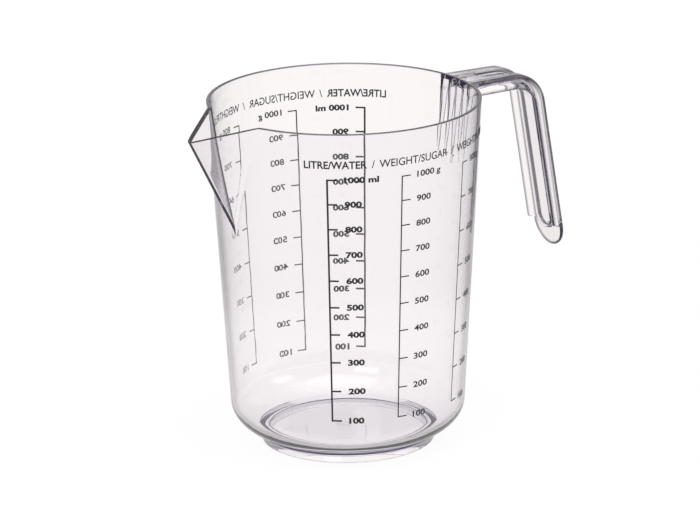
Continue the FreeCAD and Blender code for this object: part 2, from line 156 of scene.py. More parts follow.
# ---------------------------------------------------------------- body surfaces

def smooth_max(a, b, blend):
    """The larger of two values, rounded where they cross."""
    closeness = np.maximum(blend - np.abs(a - b), 0.0) / blend
    return np.maximum(a, b) + closeness ** 2 * blend / 4.0


def cone_radius(z):
    """Outside of the tapered wall."""
    return RIM_RADIUS - WALL_TAPER * (JUG_HEIGHT - z)


def keel_radius(z):
    """Distance of the spout's sharp keel from the axis."""
    return RIM_RADIUS + SPOUT_REACH + KEEL_LEAN * (z - (JUG_HEIGHT - SPOUT_DROP))


def surface_radius(turn, z, inset):
    """Radius of the wall with the spout; turn is the angle from the spout, inset the wall or 0."""
    cone = cone_radius(z) - inset
    thickening = math.hypot(1.0, KEEL_LEAN * math.sin(SPOUT_HALF_ANGLE))
    apex = keel_radius(z) - inset * thickening / math.sin(SPOUT_HALF_ANGLE)
    away = np.sqrt(turn ** 2 + (CREASE_ROUND if inset > 0.0 else KEEL_ROUND) ** 2)
    slant = SPOUT_HALF_ANGLE + away
    flank = apex * math.sin(SPOUT_HALF_ANGLE) / np.sin(np.minimum(slant, math.pi / 2))
    flank = np.where(slant < math.pi / 2, flank, 0.0)
    return smooth_max(cone, flank, CREASE_BLEND)


def mouth_distance():
    """How far from the axis, towards the spout, the lip starts to fall."""
    apex = keel_radius(JUG_HEIGHT)
    half = SPOUT_HALF_ANGLE
    flank = apex * math.cos(half) - math.sqrt(RIM_RADIUS ** 2 - (apex * math.sin(half)) ** 2)
    return apex - flank * math.cos(half)


def rim_height(turn):
    """Height of the rim, which falls along the lip of the spout."""
    start = mouth_distance()
    slope = SPOUT_DROP / (RIM_RADIUS + SPOUT_REACH - start)
    z = np.full_like(turn, JUG_HEIGHT)
    for _ in range(25):
        out = surface_radius(turn, z, WALL / 2.0) * np.cos(turn) - start
        z = JUG_HEIGHT - slope * smooth_max(out, np.zeros_like(out), LIP_BLEND)
        z = np.where(np.abs(turn) < math.pi / 4, np.minimum(z, JUG_HEIGHT), JUG_HEIGHT)
    return z


def corner(inset, bottom):
    """Centre, half axes and end of the ellipse that rounds the bottom corner."""
    across = CORNER_ACROSS - inset
    up = CORNER_Z - bottom
    slant = math.hypot(across, WALL_TAPER * up)
    centre = cone_radius(CORNER_Z) - inset - slant
    start = math.atan2(-WALL_TAPER * up, across)
    return centre, across, up, start


def corner_points(inset, bottom, count, least_radius):
    """Points down the rounded corner from the wall to the radius given."""
    centre, across, up, start = corner(inset, bottom)
    end = -math.pi / 2
    if least_radius > centre:
        end = -math.acos((least_radius - centre) / across)
    angles = np.linspace(start, end, count)
    return [(centre + across * math.cos(a), CORNER_Z + up * math.sin(a)) for a in angles]


def round_corners(points, radii, steps=5):
    """Polyline with each corner replaced by an arc of its radius (0 keeps it)."""
    result = []
    for index, (here, radius) in enumerate(zip(points, radii)):
        here = np.array(here, float)
        if radius == 0.0:
            result.append(tuple(here))
            continue
        before = np.array(points[index - 1], float) - here
        after = np.array(points[index + 1], float) - here
        before /= np.linalg.norm(before)
        after /= np.linalg.norm(after)
        half = math.acos(max(-1.0, min(1.0, float(before @ after)))) / 2.0
        reach = radius / math.tan(half)
        middle = (before + after) / np.linalg.norm(before + after)
        centre = here + middle * radius / math.sin(half)
        first = here + before * reach - centre
        last = here + after * reach - centre
        for step in np.linspace(0.0, 1.0, steps):
            direction = first * (1.0 - step) + last * step
            result.append(tuple(centre + direction / np.linalg.norm(direction) * radius))
    return result


def turns_round():
    """Angles from the spout, close together at the keel and where the flanks meet the wall."""
    near = np.linspace(0.0, 2.4, 13)
    flank = np.linspace(2.4, 27.0, 56)[1:]
    rest = np.linspace(27.0, 180.0, 66)[1:]
    half = np.concatenate([near, flank, rest])
    return np.radians(np.concatenate([half, -half[-2:0:-1]]))


def body_rows():
    """Rows of the closed skin, from the middle of the under side round to the middle of the floor,
    and the painted shade of each row."""
    turn = turns_round()
    ring = np.ones_like(turn)
    foot_inner = FOOT_RADIUS - FOOT_WIDTH
    foot_join = FOOT_RADIUS + FOOT_FLARE * FOOT_JOIN_HEIGHT
    outer_corner = corner_points(0.0, FOOT_HEIGHT, 26, foot_join)
    under_radius = foot_inner - 8.0
    profile = round_corners(
        [(under_radius, FOOT_HEIGHT), (foot_inner, FOOT_HEIGHT), (foot_inner, 0.0),
         (FOOT_RADIUS, 0.0), outer_corner[-1], outer_corner[-3]],
        [0.0, FOOT_CORNER_ROUND, FOOT_ROUND, FOOT_ROUND, FOOT_JOIN_ROUND, 0.0])
    rows = []
    for radius in np.linspace(MIDDLE_RADIUS, under_radius, 12)[:-1]:
        rows.append((radius * ring, FOOT_HEIGHT * ring))
    for radius, z in profile[:-1]:
        rows.append((radius * ring, z * ring))
    for radius, z in outer_corner[-3::-1]:
        rows.append((radius * ring, z * ring))
    # Outer wall, up to where the rim starts to round
    top = rim_height(turn)
    low = outer_corner[0][1]
    # The extra row just under the top limits how far down the rim's painted shade runs
    wall_shares = np.append(np.linspace(0.0, 1.0, 61)[:-1], [1.0 - RIM_LINE / JUG_HEIGHT, 1.0])
    for share in wall_shares[1:]:
        z = low + (top - RIM_ROUND - low) * share
        rows.append((surface_radius(turn, z, 0.0), z))
    # Rim, a flattened half round, with painted shade darkest along its two edges
    edge_shades = [0.0] * (len(rows) - 1) + [RIM_PAINTED_SHADE]
    for angle in np.linspace(0.0, math.pi, 13)[1:-1]:
        across = math.copysign(abs(math.cos(angle)) ** RIM_SQUARENESS, math.cos(angle))
        z = top - RIM_ROUND + RIM_ROUND * math.sin(angle) ** RIM_SQUARENESS
        outside = surface_radius(turn, z, 0.0)
        inside = surface_radius(turn, z, WALL)
        rows.append(((outside + inside) / 2.0 + (outside - inside) / 2.0 * across, z))
        edge_shades.append(RIM_PAINTED_SHADE * (RIM_MIDDLE_SHARE + (1.0 - RIM_MIDDLE_SHARE) * across ** 2))
    # Inner wall, rounded corner and floor
    # The top row of the inner wall carries the rim's painted shade
    edge_shades.append(RIM_PAINTED_SHADE)
    inner_corner = corner_points(WALL, FLOOR_TOP, 26, 0.0)
    low = inner_corner[0][1]
    for share in wall_shares[:0:-1]:
        z = low + (top - RIM_ROUND - low) * share
        rows.append((surface_radius(turn, z, WALL), z))
    for radius, z in inner_corner:
        rows.append((radius * ring, z * ring))
    for radius in np.linspace(inner_corner[-1][0], MIDDLE_RADIUS, 14)[1:]:
        rows.append((radius * ring, FLOOR_TOP * ring))
    edge_shades += [0.0] * (len(rows) - len(edge_shades))
    return turn, rows, edge_shades


def link_mesh(name, vertices, faces, edge_shades=None):
    """New mesh object from millimetre points, with its faces turned outward. The painted shades, where
    there are any, say how dark the painted shade is at each point: 0 on open faces, up to 1 on its dark
    lines."""
    mesh = bpy.data.meshes.new(name)
    mesh.from_pydata([(x * MM, y * MM, z * MM) for x, y, z in vertices], [], faces)
    # Painted shade of each point, kept on the mesh for the plastic's colour
    if edge_shades is not None:
        depth = mesh.attributes.new("painted_edge_shade", "FLOAT", "POINT")
        depth.data.foreach_set("value", edge_shades)
    piece = bpy.data.objects.new(name, mesh)
    bpy.context.scene.collection.objects.link(piece)
    shell = bmesh.new()
    shell.from_mesh(mesh)
    bmesh.ops.recalc_face_normals(shell, faces=shell.faces)
    shell.to_mesh(mesh)
    shell.free()
    return piece


def ring_faces(rows, count):
    """Quads between neighbouring rings."""
    faces = []
    for row in range(rows - 1):
        for column in range(count):
            after = (column + 1) % count
            faces.append((row * count + column, row * count + after,
                          (row + 1) * count + after, (row + 1) * count + column))
    return faces


def make_body():
    """Wall, spout, floor and foot ring as one closed skin."""
    turn, rows, row_shades = body_rows()
    vertices = []
    for radius, z in rows:
        vertices += list(zip(-radius * np.cos(turn), -radius * np.sin(turn), z))
    count = len(turn)
    faces = ring_faces(len(rows), count)
    last = (len(rows) - 1) * count
    faces.append(tuple(range(count)))
    faces.append(tuple(range(last, last + count)))
    return link_mesh("jug_moulding", vertices, faces, np.repeat(row_shades, count))


# ---------------------------------------------------------------- handle

def step_up(value):
    """Smooth step from 0 to 1 as value goes from 0 to 1."""
    share = np.clip(value, 0.0, 1.0)
    return share * share * (3.0 - 2.0 * share)


class HandlePath:
    """Outer face of the handle seen from the side: arm, bend and grip."""

    def __init__(self):
        self.out = np.array([1.0, -ARM_FALL]) / math.hypot(1.0, ARM_FALL)
        self.down = np.array([math.sin(GRIP_TILT), -math.cos(GRIP_TILT)])
        self.turn = math.acos(float(self.out @ self.down))
        self.reach = BEND_RADIUS * math.tan(self.turn / 2.0)
        top = JUG_HEIGHT - ARM_DROP
        self.corner = np.array([RIM_RADIUS + ARM_REACH, top - ARM_FALL * ARM_REACH])
        self.start = np.array([RIM_RADIUS, top])
        self.arm = ARM_REACH * math.hypot(1.0, ARM_FALL) - self.reach
        self.bend = BEND_RADIUS * self.turn

    def station(self, along):
        """Length along the path of a place on the grip, given from the corner."""
        return along - self.reach + self.arm + self.bend

    def place(self, length):
        """Point on the outer face and the direction into the handle."""
        if length <= self.arm:
            forward = self.out
            spot = self.start + forward * length
        elif length >= self.arm + self.bend:
            forward = self.down
            spot = self.corner + forward * (length - self.arm - self.bend + self.reach)
        else:
            angle = (length - self.arm) / BEND_RADIUS
            cosine, sine = math.cos(angle), math.sin(angle)
            forward = np.array([self.out[0] * cosine + self.out[1] * sine,
                                self.out[1] * cosine - self.out[0] * sine])
            first_inward = np.array([self.out[1], -self.out[0]])
            centre = self.start + self.out * self.arm + first_inward * BEND_RADIUS
            spot = centre - np.array([forward[1], -forward[0]]) * BEND_RADIUS
        return spot, np.array([forward[1], -forward[0]])


PATH = HandlePath()
TONGUE_CENTRE = PATH.station(GRIP_LENGTH - GRIP_HALF_WIDTH)
GROOVE_WALL_END = PATH.station(GRIP_LENGTH - GROOVE_END_GAP)
GROOVE_WALL_HALF = GROOVE_HALF_WIDTH + GROOVE_WALL
SIDE_POINTS = 3
FOLLOW_LENGTH = 4.0
RIB_ROWS = 28


def handle_stations():
    """Places along the handle for the rings of its skin."""
    end = PATH.station(GRIP_LENGTH)
    groove_from = GROOVE_START - 1.0
    groove_to = GROOVE_START + GROOVE_HALF_WIDTH + 1.0
    busy_from = GROOVE_WALL_END - GROOVE_WALL_HALF - 1.0
    busy_to = GROOVE_WALL_END + 0.6
    tongue = np.linspace(0.0, math.pi / 2, 20)
    parts = [np.linspace(-WALL / 2.0, 2.0, 6), np.linspace(2.0, groove_from, 8),
             np.linspace(groove_from, groove_to, 34), np.linspace(groove_to, PATH.arm, 8),
             np.linspace(PATH.arm, PATH.arm + PATH.bend, 44),
             np.linspace(PATH.arm + PATH.bend, busy_from, 36),
             np.linspace(busy_from, busy_to, 40),
             busy_to + (end - SKIN_GAP - busy_to) * np.sin(tongue)]
    return np.unique(np.round(np.concatenate(parts), 4))


def half_width(length):
    """Half width of the handle at that place."""
    if length > TONGUE_CENTRE:
        return math.sqrt(max(GRIP_HALF_WIDTH ** 2 - (length - TONGUE_CENTRE) ** 2, 0.04))
    share = min(max(length / PATH.arm, 0.0), 1.0)
    return ROOT_HALF_WIDTH + (GRIP_HALF_WIDTH - ROOT_HALF_WIDTH) * share


def slot_distance(length, across, half, start, end):
    """Distance to the outline of a slot with round ends, negative inside."""
    beyond = max(start - length, length - end, 0.0)
    return np.hypot(across, beyond) - half


def edge_round(edge, radius):
    """How far a face has fallen at that distance from its edge."""
    inside = np.clip(radius - edge, 0.0, radius)
    return radius - np.sqrt(radius ** 2 - inside ** 2)


def across_lines(half):
    """Places across the handle, close together at the groove and the flanges."""
    groove = [0.0, 1.0, 2.0, 3.0, 3.8, 4.2, 4.4, 4.55, 4.7, 4.85, 5.0, 5.15, 5.3, 5.45, 5.6, 5.75,
              5.9, 6.1, 6.5]
    from_edge = [2.9, 2.3, 1.9, 1.75, 1.6, 1.45, 1.3, 1.15, 1.0, 0.8, 0.6, 0.42, 0.28, 0.17, 0.09,
                 0.03, 0.0]
    outer = [GRIP_HALF_WIDTH - value for value in from_edge]
    positions = np.array(groove + outer)
    if half >= GRIP_HALF_WIDTH:
        share = np.clip((positions - groove[-1]) / (GRIP_HALF_WIDTH - groove[-1]), 0.0, 1.0)
        positions = positions + share * (half - GRIP_HALF_WIDTH)
    else:
        positions = positions * half / GRIP_HALF_WIDTH
    return np.concatenate([-positions[:0:-1], positions])


def handle_section(length):
    """Ring round the handle at that place: across, depth and painted shade of its points, and the number of
    points on one face."""
    half = half_width(length)
    across = across_lines(half)
    edge = half - np.abs(across)
    if length > TONGUE_CENTRE:
        edge = np.maximum(GRIP_HALF_WIDTH - np.hypot(across, length - TONGUE_CENTRE), 0.0)
    groove_start = GROOVE_START + GROOVE_HALF_WIDTH
    round_centre = GROOVE_WALL_END - GROOVE_WALL_HALF
    groove = slot_distance(length, across, GROOVE_HALF_WIDTH, groove_start, round_centre)
    outer = GROOVE_DEPTH * step_up(-groove / WALL_SLOPE_WIDTH)
    outer = outer + edge_round(edge, EDGE_ROUND)
    boss = slot_distance(length, across, GROOVE_WALL_HALF, -ROOT_HALF_WIDTH, round_centre)
    boss_depth = GROOVE_DEPTH + GROOVE_FLOOR
    inner = WEB_THICKNESS + (boss_depth - WEB_THICKNESS) * step_up(-boss / WALL_SLOPE_WIDTH)
    bent = step_up(np.array((length - PATH.arm) / PATH.bend))
    full = ARM_DEPTH + (GRIP_DEPTH - ARM_DEPTH) * bent
    fade = 1.0 - step_up(np.array((length - TONGUE_CENTRE) / FLANGE_END_SLOPE + 1.0))
    flange = step_up((np.abs(across) - half + FLANGE_THICKNESS) / WALL_SLOPE_WIDTH + 0.5)
    if length > TONGUE_CENTRE:
        flange = flange * 0.0
    inner = np.maximum(inner, WEB_THICKNESS + (full - WEB_THICKNESS) * flange * fade)
    inner = inner - edge_round(edge, INNER_EDGE_ROUND)
    side = np.linspace(0.0, 1.0, SIDE_POINTS + 2)[1:-1]
    right = outer[-1] + (inner[-1] - outer[-1]) * side
    left = inner[0] + (outer[0] - inner[0]) * side
    ring_across = np.concatenate([across, np.full(SIDE_POINTS, half),
                                  across[::-1], np.full(SIDE_POINTS, -half)])
    ring_depth = np.concatenate([outer, right, inner[::-1], left])
    # Painted shade: dark lines on the groove walls and along the rounded edges of both faces
    off_slope = np.abs(groove + WALL_SLOPE_WIDTH / 2.0)
    groove_wall = np.clip(1.0 - off_slope / WALL_SLOPE_WIDTH, 0.0, 1.0)
    outer_shade = np.maximum(groove_wall * GROOVE_PAINTED_SHADE, (edge < EDGE_ROUND) * EDGE_PAINTED_SHADE)
    inner_shade = (edge < INNER_EDGE_ROUND) * EDGE_PAINTED_SHADE * fade
    ring_shade = np.concatenate([outer_shade, np.zeros(SIDE_POINTS),
                                inner_shade[::-1], np.zeros(SIDE_POINTS)])
    return ring_across, ring_depth, ring_shade, len(across)


def make_handle():
    """Arm, bend and grip with side flanges, a grooved web and a flat tongue."""
    vertices = []
    edge_shades = []
    stations = handle_stations()
    for length in stations:
        across, depth, tone, face_count = handle_section(length)
        edge_shades += list(tone)
        spot, inward = PATH.place(length)
        follow = 1.0 - step_up(np.array(length / FOLLOW_LENGTH))
        bow = (RIM_RADIUS - np.sqrt(RIM_RADIUS ** 2 - across ** 2)) * follow
        x = spot[0] + inward[0] * depth - bow
        z = spot[1] + inward[1] * depth
        vertices += list(zip(x, across, z))
    count = len(across)
    faces = ring_faces(len(stations), count)
    for base in (0, (len(stations) - 1) * count):
        for column in range(face_count - 1):
            mirror = 2 * face_count + SIDE_POINTS - 1 - column
            faces.append((base + column, base + column + 1, base + mirror - 1, base + mirror))
        right = [base + face_count - 1 + step for step in range(SIDE_POINTS + 2)]
        left = [base + 2 * face_count + SIDE_POINTS - 1 + step for step in range(SIDE_POINTS + 1)]
        faces.append(tuple(right))
        faces.append(tuple(left + [base]))
    return link_mesh("handle_skin", vertices, faces, edge_shades)


def make_wall_ribs():
    """Five shallow ribs that run down the wall from the arm and fade out."""
    outer = ROOT_HALF_WIDTH - RIB_THICKNESS / 2.0
    inner = GROOVE_WALL_HALF - RIB_THICKNESS / 2.0
    half = RIB_THICKNESS / 2.0
    top = JUG_HEIGHT - ARM_DROP - WEB_THICKNESS / 2.0
    vertices = []
    faces = []
    for place in (-outer, -inner, 0.0, inner, outer):
        first = len(vertices)
        for share in np.linspace(0.0, 1.0, RIB_ROWS):
            z = top - RIB_LENGTH * share
            reach = RIB_REACH * (1.0 - share) - RIB_SINK * share
            tip = [(reach - RIB_ROUND + RIB_ROUND * math.sin(a), half - RIB_ROUND + RIB_ROUND * math.cos(a))
                   for a in np.linspace(0.0, math.pi / 2, 5)]
            one_side = [(-WALL / 2.0, half)] + tip
            outline = one_side + [(x, -y) for x, y in one_side[::-1]]
            wall = math.sqrt(cone_radius(z) ** 2 - place ** 2)
            vertices += [(wall + out, place + y, z) for out, y in outline]
        count = len(outline)
        for face in ring_faces(RIB_ROWS, count):
            faces.append(tuple(first + index for index in face))
        faces.append(tuple(first + step for step in range(count)))
        faces.append(tuple(first + (RIB_ROWS - 1) * count + step for step in range(count)))
    return link_mesh("rib_skin", vertices, faces, np.zeros(len(vertices)))


def piece_tones(piece):
    """Position and painted shade of each vertex."""
    depth = piece.data.attributes["painted_edge_shade"].data
    return [(vertex.co.copy(), value.value) for vertex, value in zip(piece.data.vertices, depth)]


def join_solids(base, others):
    """Boolean union of closed skins into the first one. Each vertex of the result takes the painted shade
    of the nearest vertex of the skins."""
    for other in others:
        union = base.modifiers.new("union", "BOOLEAN")
        union.operation = "UNION"
        union.solver = "EXACT"
        union.object = other
    skins = [vertex for piece in [base] + others for vertex in piece_tones(piece)]
    nearest = KDTree(len(skins))
    for index, skin in enumerate(skins):
        nearest.insert(skin[0], index)
    nearest.balance()
    graph = bpy.context.evaluated_depsgraph_get()
    joined = bpy.data.meshes.new_from_object(base.evaluated_get(graph))
    edge_shades = [skins[nearest.find(vertex.co)[1]][1] for vertex in joined.vertices]
    joined.attributes["painted_edge_shade"].data.foreach_set("value", edge_shades)
    base.modifiers.clear()
    base.data = joined
    for other in others:
        bpy.data.objects.remove(other)
    return base


def shade(piece, sharp_angle):
    """Smooth shading, broken only at real corners."""
    for face in piece.data.polygons:
        face.use_smooth = True
    piece.data.set_sharp_from_angle(angle=math.radians(sharp_angle))


# ---------------------------------------------------------------- printed scales

def inner_radius(z):
    """Inside of the jug below the spout."""
    centre, across, up, start = corner(WALL, FLOOR_TOP)
    if z < CORNER_Z + up * math.sin(start):
        return centre + across * math.sqrt(max(0.0, 1.0 - ((CORNER_Z - z) / up) ** 2))
    return cone_radius(z) - WALL


def level_of(millilitres):
    """Height of the surface of that much water."""
    step = 0.02
    z = FLOOR_TOP
    total = 0.0
    while total < millilitres * 1000.0:
        total += math.pi * inner_radius(z + step / 2.0) ** 2 * step
        z += step
    return z


def lettering(text, bold):
    """Closed outline letters: points (x, y, 0 to 1 through the film) and faces, one unit high."""
    collection = bpy.context.scene.collection
    results = []
    for body in ("0", text):
        curve = bpy.data.curves.new("letters", "FONT")
        curve.body = body
        curve.size = 1.0
        curve.extrude = 1.0
        curve.offset = bold
        curve.resolution_u = 3
        holder = bpy.data.objects.new("letters", curve)
        collection.objects.link(holder)
        graph = bpy.context.evaluated_depsgraph_get()
        mesh = bpy.data.meshes.new_from_object(holder.evaluated_get(graph))
        points = np.array([vertex.co for vertex in mesh.vertices])
        faces = [tuple(face.vertices) for face in mesh.polygons]
        results.append((points, faces))
        bpy.data.objects.remove(holder)
        bpy.data.curves.remove(curve)
        bpy.data.meshes.remove(mesh)
    zero = results[0][0]
    base = zero[:, 1].min()
    height = zero[:, 1].max() - base
    points, faces = results[1]
    points = points.copy()
    points[:, 0] = (points[:, 0] - points[:, 0].min()) / height
    points[:, 1] = (points[:, 1] - base) / height
    points[:, 2] = (points[:, 2] + 1.0) / 2.0
    return points, faces


def wrap(points, line_angle, level):
    """Puts flat print on the wall: x along it from the line, y up from the level."""
    z = level + points[:, 1]
    angle = math.radians(line_angle) + points[:, 0] / cone_radius(level)
    radius = cone_radius(z) + INK_GAP + points[:, 2] * INK_THICKNESS
    return np.stack([radius * np.cos(angle), radius * np.sin(angle), z], axis=1)


def bar(x0, x1, y0, y1, cells_across, cells_up):
    """Closed flat bar of print, cut into cells so that it can follow the wall."""
    xs = np.linspace(x0, x1, cells_across + 1)
    ys = np.linspace(y0, y1, cells_up + 1)
    points = []
    for depth in (0.0, 1.0):
        points += [(x, y, depth) for y in ys for x in xs]
    wide = cells_across + 1
    layer = wide * (cells_up + 1)
    faces = []
    for row in range(cells_up):
        for column in range(cells_across):
            a = row * wide + column
            quad = (a, a + 1, a + wide + 1, a + wide)
            faces.append(quad)
            faces.append(tuple(index + layer for index in quad[::-1]))
    border = list(range(wide))
    border += [row * wide + cells_across for row in range(1, cells_up + 1)]
    border += [cells_up * wide + column for column in range(cells_across - 1, -1, -1)]
    border += [row * wide for row in range(cells_up - 1, 0, -1)]
    for here, there in zip(border, border[1:] + border[:1]):
        faces.append((here, here + layer, there + layer, there))
    return np.array(points), faces


class Film:
    """Collects the print of one film."""

    def __init__(self):
        self.vertices = []
        self.faces = []

    def add(self, points, faces):
        """Adds one closed shape."""
        base = len(self.vertices)
        self.vertices += [tuple(point) for point in points]
        self.faces += [tuple(index + base for index in face) for face in faces]


def make_scale(name, heights, labels, angle, bold, line_width):
    """Line, ticks and numbers of one scale."""
    film = Film()
    half = line_width / 2.0
    low, high = heights[0], heights[-1]
    points, faces = bar(-half, half, 0.0, high - low, 1, 40)
    film.add(wrap(points, angle, low), faces)
    digit_share = 3.0 * DIGIT_PITCH / lettering("000", bold)[0][:, 0].max()
    for height, label in zip(heights, labels):
        points, faces = bar(-half, TICK_LENGTH, -half, half, 8, 1)
        film.add(wrap(points, angle, height), faces)
        points, faces = lettering(label, bold)
        points = points * np.array([digit_share, DIGIT_HEIGHT, 1.0])
        points = points + np.array([LABEL_GAP, -DIGIT_HEIGHT / 2.0, 0.0])
        film.add(wrap(points, angle, height), faces)
    return link_mesh(name, film.vertices, film.faces)


def number_labels(amounts, unit):
    """Numbers of one scale, with the unit after the last."""
    return [str(amount) for amount in amounts[:-1]] + ["%d %s" % (amounts[-1], unit)]


def make_heading(name, line_angle):
    """Row of words over the three scales."""
    film = Film()
    level = JUG_HEIGHT - HEADING_DROP
    for text, start, length, bold in HEADING:
        points, faces = lettering(text, bold)
        points = points * np.array([length / points[:, 0].max(), HEADING_HEIGHT, 1.0])
        points = points + np.array([start - HEADING_LEAD, -HEADING_HEIGHT / 2.0, 0.0])
        film.add(wrap(points, line_angle, level), faces)
    return link_mesh(name, film.vertices, film.faces)


# ---------------------------------------------------------------- materials

# What is left of the surround's light after one mirror turn, inside the plastic and outside it
INSIDE_FADE = 0.42
OUTSIDE_FADE = 0.85
# Least light from straight overhead and from the sheet close to the jug, however often it turned
OVERHEAD_SHARE = 0.6
SHEET_SHARE = 0.7
# Share of the sheet's brightness that comes from the light under it
SHEET_GLOW = 0.94


def linear(hex_colour):
    """sRGB hex to linear RGBA."""
    channels = []
    for index in (1, 3, 5):
        value = int(hex_colour[index:index + 2], 16) / 255.0
        channels.append(value / 12.92 if value <= 0.04045 else ((value + 0.055) / 1.055) ** 2.4)
    return (*channels, 1.0)


def add_node(tree, kind, settings=None, **links):
    """Adds a node, sets its inputs and properties, and links its inputs."""
    node = tree.nodes.new(kind)
    for key, value in (settings or {}).items():
        if key in node.inputs:
            node.inputs[key].default_value = value
        else:
            setattr(node, key, value)
    for key, source in links.items():
        tree.links.new(source, node.inputs[key.replace("_", " ")])
    return node


def new_material(name):
    """Empty node material and its output."""
    material = bpy.data.materials.new(name)
    material.use_nodes = True
    material.node_tree.nodes.clear()
    output = material.node_tree.nodes.new("ShaderNodeOutputMaterial")
    return material, material.node_tree, output


def clear_plastic():
    """Clear styrene-acrylonitrile, injection moulded in a polished tool: glassy faces with a slow
    waviness from the flow of the molten plastic, a lilac-grey depth where light travels a long way in it,
    a painted lilac glow inside it, painted shade where its faces are seen edge-on, more of it on the
    handle, and painted dark lines of shade along its rim, edges and groove."""
    material, tree, output = new_material("clear_san_moulded")
    place = add_node(tree, "ShaderNodeTexCoord")
    flow = add_node(tree, "ShaderNodeTexNoise", {"Scale": 60.0, "Detail": 2.0},
                    Vector=place.outputs["Object"])
    gloss = add_node(tree, "ShaderNodeMapRange", {"To Min": 0.0, "To Max": 0.03},
                     Value=flow.outputs["Fac"])
    bump = add_node(tree, "ShaderNodeBump", {"Strength": 0.25, "Distance": 0.0002},
                    Height=flow.outputs["Fac"])
    # Painted shade: the colour darkens to a deep lilac where the faces are seen edge-on, over more of their
    # slope on the handle out past the wall
    edge = add_node(tree, "ShaderNodeLayerWeight", {"Blend": 0.5})
    across = add_node(tree, "ShaderNodeSeparateXYZ", Vector=place.outputs["Object"])
    grazing_shade_onset = add_node(tree, "ShaderNodeMapRange",
                     {"From Min": (RIM_RADIUS + 1.0) * MM, "From Max": (RIM_RADIUS + 6.0) * MM,
                      "To Min": 0.68, "To Max": 0.25}, Value=across.outputs["X"])
    grazing = add_node(tree, "ShaderNodeMapRange",
                       {"interpolation_type": "SMOOTHSTEP", "From Max": 1.0},
                       Value=edge.outputs["Facing"], From_Min=grazing_shade_onset.outputs["Result"])
    grazing_shaded = add_node(tree, "ShaderNodeMix", {"data_type": "RGBA"}, Factor=grazing.outputs["Result"])
    grazing_shaded.inputs[6].default_value = linear("#FDFCFD")
    grazing_shaded.inputs[7].default_value = linear("#514766")
    skin = add_node(tree, "ShaderNodeBsdfPrincipled", {"IOR": 1.57, "Transmission Weight": 1.0},
                    Roughness=gloss.outputs["Result"], Normal=bump.outputs["Normal"])
    # Painted shade: the mesh's shade attribute darkens the colour to navy along the rim, the handle's edges
    # and the groove walls
    lines = add_node(tree, "ShaderNodeAttribute", {"attribute_name": "painted_edge_shade"})
    lined = add_node(tree, "ShaderNodeMix", {"data_type": "RGBA"}, Factor=lines.outputs["Fac"])
    tree.links.new(grazing_shaded.outputs[2], lined.inputs[6])
    lined.inputs[7].default_value = linear("#1D1638")
    tree.links.new(lined.outputs[2], skin.inputs["Base Color"])
    depth = add_node(tree, "ShaderNodeVolumeAbsorption", {"Color": linear("#956CDA"), "Density": 11.0})
    # Painted glow: the plastic gives off a lilac light of its own, added to its real absorption
    painted_glow = add_node(tree, "ShaderNodeEmission", {"Color": linear("#8A84C8"), "Strength": 1.5})
    absorption_and_painted_glow = add_node(tree, "ShaderNodeAddShader")
    tree.links.new(depth.outputs["Volume"], absorption_and_painted_glow.inputs[0])
    tree.links.new(painted_glow.outputs["Emission"], absorption_and_painted_glow.inputs[1])
    tree.links.new(skin.outputs["BSDF"], output.inputs["Surface"])
    tree.links.new(absorption_and_painted_glow.outputs["Shader"], output.inputs["Volume"])
    return material


def black_ink():
    """Screen-printing ink on plastic: near black, half matt, with a slightly uneven film."""
    material, tree, output = new_material("screen_ink_black")
    place = add_node(tree, "ShaderNodeTexCoord")
    grain = add_node(tree, "ShaderNodeTexNoise", {"Scale": 2500.0, "Detail": 2.0},
                     Vector=place.outputs["Object"])
    tone = add_node(tree, "ShaderNodeMix", {"data_type": "RGBA"}, Factor=grain.outputs["Fac"])
    tone.inputs[6].default_value = linear("#070608")
    tone.inputs[7].default_value = linear("#121114")
    matt = add_node(tree, "ShaderNodeMapRange", {"To Min": 0.4, "To Max": 0.6},
                    Value=grain.outputs["Fac"])
    skin = add_node(tree, "ShaderNodeBsdfPrincipled", {"IOR": 1.5}, Roughness=matt.outputs["Result"])
    tree.links.new(tone.outputs[2], skin.inputs["Base Color"])
    tree.links.new(skin.outputs["BSDF"], output.inputs["Surface"])
    return material


